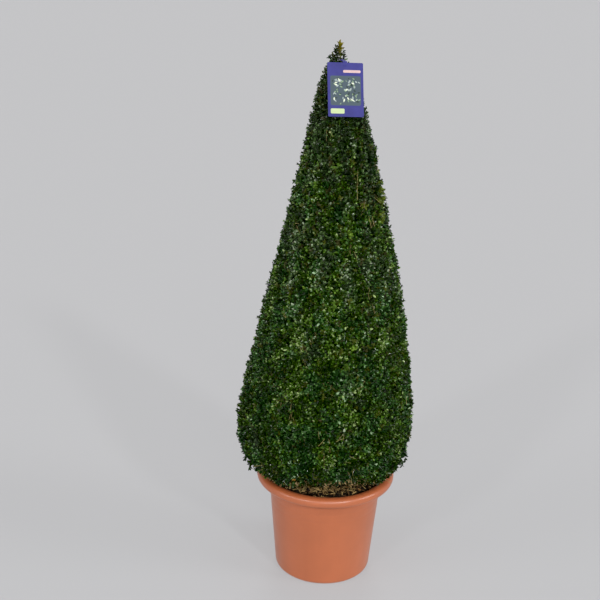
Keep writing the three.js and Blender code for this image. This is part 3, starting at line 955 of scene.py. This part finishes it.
def grow_strays():
    """The few shoots that stick out of the clipped outline, at the skirt and round the leader's foot."""
    rows = []
    for tip in TOP_SPRIGS:
        aside = (tip - SPRIG_FOOT) * [1, 1, 0]
        root = SPRIG_FOOT + SPRIG_SPREAD * aside
        control = (root + tip) / 2 + SPRIG_BOW * aside
        rows.append((root, control, tip, SPRIG_FOOT[2], math.atan2(tip[1], tip[0])))
    for degrees, height, outwards, upwards in HANGING:
        angle = math.radians(degrees)
        root = crown_spot(degrees, height, STRAY_DEPTH)
        way = unit(polar(outwards, angle, upwards)) * STRAY_LENGTH
        rows.append((root, root + way / 2 + [0, 0, STRAY_BOW], root + way, height, angle))
    return [np.array(values) for values in zip(*rows)]


def leaf_set(knots, axis, turn, spread, lengths):
    """Corner points of leaves that stand off their shoots, with the upper face towards the shoot's tip."""
    count = len(knots)
    ways = unit(swung(axis, swung(*across(axis), turn), spread))
    ups = unit(axis - ways * np.sum(axis * ways, 1, keepdims=True))
    ups = unit(swung(ups, np.cross(ways, ups), rng.normal(0, LEAF_ROLL, count)))
    fold = rng.normal(*LEAF_FOLD, count)
    curl = rng.normal(*LEAF_CURL, count)
    return leaf_points(knots, ways, ups, lengths, fold, curl)


def dress(shoots):
    """Opposite pairs of leaves, each a quarter turn from the last, from the tips of shoots inwards.
    Returns their corner points, the shoot of each, and its pair."""
    roots, controls, tips, height, _ = shoots
    count = len(roots)
    span = np.linalg.norm(tips - roots, axis=1)
    size = LEAF_LENGTH * np.clip((CROWN_TOP - height) / TOP_SHRINK, SMALLEST_LEAF, 1)
    size[SHOOTS:] *= STRAY_LEAF
    first_turn = rng.uniform(0, TAU, count)
    rows = []
    for pair in range(LEAF_PAIRS):
        back = (FIRST_KNOT + KNOT_SPACING * pair) * rng.uniform(*UNEVEN, count)
        inside = back < LEAFY_SHARE * span
        t = np.clip(1 - back / span, 0, 1)[:, None]
        knots = bend(roots, controls, tips, t)
        axis = unit(2 * (1 - t) * (controls - roots) + 2 * t * (tips - controls))
        for half in (0, math.pi):
            turn = first_turn + pair * QUARTER + half + rng.normal(0, TURN_STRAY, count)
            spread = np.interp(pair, *OPENINGS.T) + rng.normal(0, OPENING_STRAY, count)
            grown = size if pair else size * YOUNGEST_LEAF
            lengths = grown * rng.normal(1, LEAF_STRAY, count).clip(*LEAF_LIMITS)
            points = leaf_set(knots, axis, turn, spread, lengths)
            rows.append((points[inside], np.nonzero(inside)[0], np.full(inside.sum(), pair)))
    return [np.concatenate(column) for column in zip(*rows)]


def card_frame():
    """The label card's own frame: X across, Y up from the foot of its top edge, Z out of its face."""
    turn = Matrix.Rotation(QUARTER - CARD_LEAN, 4, "X") @ Matrix.Rotation(-CARD_ROLL, 4, "Z")
    hung = Matrix.Translation((0, -LABEL_ARM, CARD_TOP - EYE_HEIGHT)) @ turn
    return Matrix.Translation((0, 0, EYE_HEIGHT)) @ Matrix.Rotation(LABEL_YAW, 4, "Z") @ hung


def clear_of_neighbours(points):
    """Which leaves keep off the pot, soil, leader and label, and out of the view of the label."""
    radius = np.hypot(points[..., 0], points[..., 1])
    height = points[..., 2]
    mouth = MOUTH_RADIUS - LIP_GAP
    over_lip = (radius > mouth) & (radius < RIM_RADIUS + LEAF_GAP)
    blocked = over_lip & (height < POT_HEIGHT + LEAF_GAP)
    blocked |= (radius <= mouth) & (height < SOIL_TOP + MULCH_DEPTH / 2)
    blocked |= (height > LEADER_FOOT) & (radius < LEADER_RADIUS + LEAF_GAP)
    own = np.array(card_frame().inverted())
    x, y, z = np.moveaxis(points @ own[:3, :3].T + own[:3, 3], -1, 0)
    blocked |= (
        (np.abs(x) < CARD_WIDTH / 2) & (y < 0) & (y > -CARD_HEIGHT)
        & (z > -CARD_THICKNESS / 2 - LEAF_GAP) & (z < CARD_VIEW)
    )
    x, y, _ = np.moveaxis(points @ np.array(Matrix.Rotation(LABEL_YAW, 3, "Z")), -1, 0)
    by_strap = (np.abs(x) < STRAP_WIDTH / 2 + LEAF_GAP) & (y < 0) & (y > -LABEL_ARM)
    blocked |= by_strap & (height > CARD_TOP - STRAP_GAP)
    return ~blocked.any(axis=1)


# Greens from the deepest to the palest: colour, share, and how much of its cast each shows. The palest
# stands partly for pale undersides and partly for painted glints
GREENS = [
    ("deep", (0.0095, 0.0295, 0.0035), 0.35, 1.0),
    ("dark", (0.0165, 0.047, 0.0048), 0.27, 1.0),
    ("middle", (0.029, 0.082, 0.0095), 0.16, 0.9),
    ("fresh", (0.055, 0.137, 0.018), 0.12, 0.7),
    ("bright", (0.12, 0.24, 0.05), 0.07, 0.5),
    # Palest green: partly pale undersides, partly painted highlights on the leaves
    ("pale", (0.34, 0.47, 0.23), 0.03, 0.3),
]
# Each green has three casts: name, change of colour, and how likely it is at the skirt and at the top
CASTS = [
    ("yellow", (1.2, 1.07, 0.42), (0.35, 0.15)),
    ("blue", (0.82, 1.0, 1.5), (0.2, -0.7)),
    ("brown", (1.45, 0.98, 2.6), (-0.9, 0.85)),
]
CAST_HEIGHTS = (0.6, 1.4)
ODD = {
    "olive": (0.075, 0.095, 0.01),
    "bronze": (0.062, 0.062, 0.018),
    "gold": (0.145, 0.2, 0.024),
    "lime": (0.23, 0.38, 0.05),
    "amber": (0.4, 0.2, 0.03),
    "tan": (0.38, 0.25, 0.11),
}
TINTS = {
    f"{green}_{cast}": tuple(a * b ** strength for a, b in zip(colour, change))
    for green, colour, _, strength in GREENS for cast, change, _ in CASTS
} | ODD
# Sprays that stand out in the photograph, by tint: angle round the crown, height and reach
ODD_SPRAYS = {
    "bright_yellow": [
        (-93.7, 1.242, 0.011), (-122.1, 1.184, 0.009), (-88.3, 0.885, 0.012), (-78.7, 0.72, 0.01),
        (-131.1, 0.802, 0.009),
    ],
    "gold": [
        (-6.9, 1.172, 0.018), (-14.0, 1.14, 0.022), (-25.6, 1.095, 0.018), (-53.5, 1.137, 0.012),
    ],
    "lime": [(-76.1, 1.064, 0.012), (-118.7, 0.927, 0.009), (-71.9, 0.769, 0.01)],
    "amber": [(-71.2, 0.803, 0.0045), (-110.0, 0.368, 0.008), (-117.0, 0.358, 0.009)],
}
SPRAY_PAIRS = 4
# Dry leaves hang in the foot of the skirt, up to this height
DRY_HEIGHT = 0.352
DRY_SHARE = 0.26
# A shoot's leaves are olive, or begin to be bronze, at these throws of a dice, with a blur by leaf
DICE_BLUR = 0.04
OLIVE_DICE = (0.5, 0.54)
BRONZE_DICE = 0.9
# Share of bronze leaves at the skirt and at the top
BRONZE_SHARES = (0.01, 0.06)
# Patches of paler or deeper greens, painted light and shade on the crown's flanks: angle, height, reach
# round and up, and how much paler
LIGHT_PATCHES = [
    (-150.0, 1.21, 0.65, 0.1, 0.6), (-145.0, 0.52, 0.55, 0.13, -0.28),
    (-165.0, 0.85, 0.6, 0.2, -0.25), (-20.0, 0.82, 0.7, 0.3, -0.22),
]
# Leaves get deeper greens towards their shoots' feet, as painted shade inside the crown, and are palest half
# way up the crown; the deepest greens at the skirt's foot are painted shade under the crown
RANK_SHADE = 0.15
LIGHT_BY_HEIGHT = np.array([
    [0.34, -1.1], [0.38, -0.6], [0.45, -0.3], [0.65, -0.05], [0.85, 0.12], [1.02, 0.12], [1.2, -0.4],
    [1.5, -0.33],
])
# Strays that hang out of the skirt get deeper greens: painted shade
STRAY_SHADE = 1.5
# How far light and casts vary by patch, by shoot and by leaf
LIGHT_SPREADS = (0.34, 0.15, 0.8)
CAST_SPREADS = (0.65, 0.2, 0.35)


def deal(shoots, owners, pattern, spreads, base):
    """A random value for each leaf about its shoot's base."""
    *_, height, angle = shoots
    by_patch, by_shoot, by_leaf = spreads
    value = by_patch * waver(pattern, angle, height) + by_shoot * rng.normal(0, 1, len(angle)) + base
    return value[owners] + by_leaf * rng.normal(0, 1, len(owners))


def deal_greens(shoots, owners, ranks):
    """The green of each leaf: sprays differ a little, their leaves more, and hidden leaves, the strays and
    the skirt's foot get deeper greens as painted shade.
    """
    *_, height, angle = shoots
    # Painted shade: deeper greens at the skirt's foot and for the strays
    base = np.interp(height, *LIGHT_BY_HEIGHT.T) - STRAY_SHADE * (np.arange(len(height)) >= SHOOTS)
    # Painted light and shade: patches of paler or deeper greens
    for degrees, at_height, turn_reach, height_reach, lift in LIGHT_PATCHES:
        off = off_by(angle, degrees) / turn_reach
        base = base + lift * np.exp(-off ** 2 - ((height - at_height) / height_reach) ** 2)
    # Painted shade: leaves further back on their shoots get deeper greens
    light = deal(shoots, owners, LIGHT_PATTERN, LIGHT_SPREADS, base) - RANK_SHADE * ranks
    order = np.argsort(np.argsort(light)) / len(owners)
    shares = [share for _, _, share, _ in GREENS]
    return np.searchsorted(np.cumsum(shares), order).clip(0, len(GREENS) - 1)


def deal_casts(shoots, owners):
    """The cast of each leaf's green, in loose patches."""
    bases = [np.interp(shoots[3], CAST_HEIGHTS, likely) for _, _, likely in CASTS]
    return np.argmax([deal(shoots, owners, CAST_PATTERN, CAST_SPREADS, base) for base in bases], axis=0)


def deal_tints(shoots, owners, ranks):
    """The place in TINTS of each leaf's colour."""
    _, _, tips, height, _ = shoots
    names = list(TINTS)
    tint = deal_greens(shoots, owners, ranks) * len(CASTS) + deal_casts(shoots, owners)
    dice = rng.uniform(size=len(tips))[owners] + DICE_BLUR * rng.uniform(size=len(owners))
    tint[(dice > OLIVE_DICE[0]) & (dice < OLIVE_DICE[1])] = names.index("olive")
    bronze = BRONZE_DICE + np.interp(height, CAST_HEIGHTS, BRONZE_SHARES)[owners]
    tint[(dice > BRONZE_DICE) & (dice < bronze)] = names.index("bronze")
    dry = (height[owners] < DRY_HEIGHT) & (rng.uniform(size=len(owners)) < DRY_SHARE)
    tint[dry] = names.index("tan")
    for name, sprays in ODD_SPRAYS.items():
        for degrees, at_height, reach in sprays:
            near = np.linalg.norm(tips - crown_spot(degrees, at_height, TIP_DEPTH[0]), axis=1) < reach
            tint[near[owners] & (ranks < SPRAY_PAIRS)] = names.index(name)
    return tint


def grow_dry_twigs():
    """Thin bare twigs that show between the leaves, in small groups, and a longer one near the top."""
    angle = np.concatenate([np.radians(DRY_GROUPS[:, 0]), rng.uniform(0, TAU, DRY_COUNT)])
    strays = rng.normal(0, DRY_STRAY, DRY_COUNT)
    height = np.concatenate([DRY_GROUPS[:, 1], even_spots(DRY_COUNT)[0] + strays])
    count = len(angle) * TWIGS_IN_GROUP
    angle = np.repeat(angle, TWIGS_IN_GROUP) + rng.normal(0, TWIG_STRAY[0], count)
    height = np.repeat(height, TWIGS_IN_GROUP) + rng.normal(0, TWIG_STRAY[1], count)
    height = height.clip(CROWN_FOOT + TWIG_MARGINS[0], CROWN_TOP - TWIG_MARGINS[1])
    tips, ways = crown_point(height, angle, rng.uniform(*TWIG_DEPTH, count))
    lean = unit(TWIG_OUT * ways + [0, 0, TWIG_UP] + rng.normal(0, TWIG_SPREAD, tips.shape))
    roots = tips - lean * rng.uniform(*TWIG_LENGTH, (count, 1))
    long_root, long_tip = [crown_spot(degrees, up, TWIG_DEPTH[0]) for degrees, up in LONG_TWIG]
    roots = np.concatenate([roots, [long_root]])
    tips = np.concatenate([tips, [long_tip]])
    paths = bends(roots, (roots + tips) / 2 + rng.normal(0, TWIG_BOW, tips.shape), tips, rings=4)
    material = mottled("dry bark", (0.36, 0.29, 0.1), 0.7, 140, 0.3)
    add("dry_twigs", *tubes(paths, *TWIG_RADII, sides=3), material, "bark", "foliage")


def grow_foliage():
    shoots = grow_shoots(grow_branchlets(grow_boughs()))
    shoots = [np.concatenate(pair) for pair in zip(shoots, grow_strays())]
    points, owners, ranks = dress(shoots)
    clear = clear_of_neighbours(points)
    points, owners, ranks = points[clear], owners[clear], ranks[clear]
    tint = deal_tints(shoots, owners, ranks)
    for i, (name, colour) in enumerate(TINTS.items()):
        name = "leaves_" + name
        add_leaves(name, points[tint == i], leaf_tint(name, colour), "leaves", "foliage")
    paths = bends(*shoots[:3], rings=3)
    paths = paths[clear_of_neighbours(paths)]
    material = mottled("shoot bark", (0.1, 0.09, 0.035), 0.7, 120, 0.4)
    add("shoots", *tubes(paths, *TWIG_RADII, sides=3), material, "bark", "foliage")
    grow_dry_twigs()


def make_core():
    """A dark sheet inside the crown that closes the view between the leaves; its deep green is painted shade
    for the dense inner growth.
    """
    heights = CROWN_FOOT + (CROWN_TOP - CROWN_FOOT) * np.linspace(0, 1, CORE_GRID) ** CORE_CROWDING
    height, angle = np.meshgrid(heights, circle(CORE_GRID), indexing="ij")
    depth = inner_depth(height, *CORE_DEPTH) + CORE_BUMP * ripple(CORE_WAVES, angle, height)
    points, _ = crown_point(height, angle, depth)
    # Deep green painted shade, seen in the gaps between the leaves
    material = mottled("core painted shade", (0.016, 0.04, 0.006), 0.9, 90, 0.6, specular=0.0)
    add("core", points, ring_faces(CORE_GRID, CORE_GRID), material, "leaves", "foliage")


# Leader

def make_leader():
    """The soft young shoot at the top, in place of the CAD one."""
    foot = np.array([0.0, 0.0, LEADER_FOOT])
    length = LEADER_TIP - TOP_REACH * LEADER_LEAF - LEADER_FOOT
    stalk = np.array([-LEADER_LEAN, 0.0, length])
    path = foot + np.linspace(0, 1, LEADER_RINGS)[:, None] * stalk
    material = mottled("young bark", (0.16, 0.17, 0.04), 0.6, 150, 0.3)
    radii = (LEADER_RADIUS, LEADER_TAPER * LEADER_RADIUS)
    add("leader_stalk", *tubes(path[None], *radii, sides=8), material, "bark", "leader")
    pair = np.repeat(np.arange(LEADER_PAIRS), 2)
    count = len(pair)
    climb = LEADER_BARE + (length - LEADER_BARE) * (pair + LEADER_FIRST) / LEADER_PAIRS
    knots = foot + climb[:, None] / length * stalk
    axis = np.tile([0.0, 0.0, 1.0], (count, 1))
    turn = pair * QUARTER + np.tile([0, math.pi], LEADER_PAIRS) + LEADER_TURN
    spread = np.interp(pair, (0, LEADER_PAIRS - 1), LEADER_OPENING) + rng.normal(0, LEADER_STRAY, count)
    points = leaf_set(knots, axis, turn, spread, np.full(count, SIDE_LEAF * LEADER_LEAF))
    top_turn, top_spread, top_length = np.array([[TOP_TURN], [TOP_OPENING], [LEADER_LEAF]])
    top = leaf_set(path[-3:-2] + [0, 0, TOP_LIFT], axis[:1], top_turn, top_spread, top_length)
    is_young = pair >= LEADER_OLD_PAIRS
    old, young = points[~is_young], np.concatenate([points[is_young], top])
    green = leaf_tint("leader green", (0.045, 0.066, 0.008))
    olive = leaf_tint("leader olive", (0.21, 0.18, 0.012))
    add_leaves("leader_old", old, green, "young_leaves", "leader")
    add_leaves("leader_young", young, olive, "young_leaves", "leader")


# Label

def card_patch(name, outlines, colour, level=1):
    """Printed patches of one colour on the card's face, from outlines across and up the card."""
    front = CARD_THICKNESS / 2 + INK * level
    shape = bmesh.new()
    for outline in outlines:
        shape.faces.new([shape.verts.new((x, y, front)) for x, y in outline])
    bmesh.ops.triangulate(shape, faces=shape.faces)
    patch = shape_object(name, shape)
    patch.data.transform(card_frame())
    patch.data.materials.append(card_finish(name, colour, 40, 0.06))
    place(patch, "label_card")


def rounded(x0, x1, y0, y1, corner):
    """Outline of a rectangle with round corners."""
    x0, x1, y0, y1 = x0 + corner, x1 - corner, y0 + corner, y1 - corner
    points = []
    for start, (x, y) in enumerate(((x1, y1), (x0, y1), (x0, y0), (x1, y0))):
        for a in QUARTER * (start + np.linspace(0, 1, CORNER_STEPS + 1)):
            points.append((x + corner * math.cos(a), y + corner * math.sin(a)))
    return points


def oval(cx, cy, length, width, turn):
    """Outline of a pointed oval from a root point."""
    c, s = math.cos(turn), math.sin(turn)
    up = [(t, 0.5 * width * math.sin(math.pi * t ** 0.8)) for t in np.linspace(0, 1, 9)]
    down = [(t, -w) for t, w in reversed(up[1:-1])]
    return [(cx + length * t * c - w * s, cy + length * t * s + w * c) for t, w in up + down]


def make_label():
    """Finish of the hanging card: a plain printed panel strewn with small leaves, and two bars."""
    refinish("label", card_finish("blue card", (0.04, 0.04, 0.215), 30, 0.15))
    for name, *edges, colour in TAG_PATCHES:
        card_patch(name, [rounded(*edges)], colour)
    for level, (tint, colour, count) in enumerate(TAG_LEAVES, 2):
        outlines = []
        for _ in range(count):
            length = rng.uniform(*TAG_LEAF_LENGTH)
            x = rng.uniform(-PRINT_SIDE + length, PRINT_SIDE - length)
            y = rng.uniform(PANEL_FOOT + length, PANEL_TOP - length)
            outlines.append(oval(x, y, length, TAG_LEAF_WIDTH * length, rng.uniform(0, TAU)))
        card_patch("tag_leaves_" + tint, outlines, colour, level)


make_camera()
make_studio()
make_pot()
make_mulch()
make_stem()
make_leader()
grow_foliage()
make_core()
make_label()
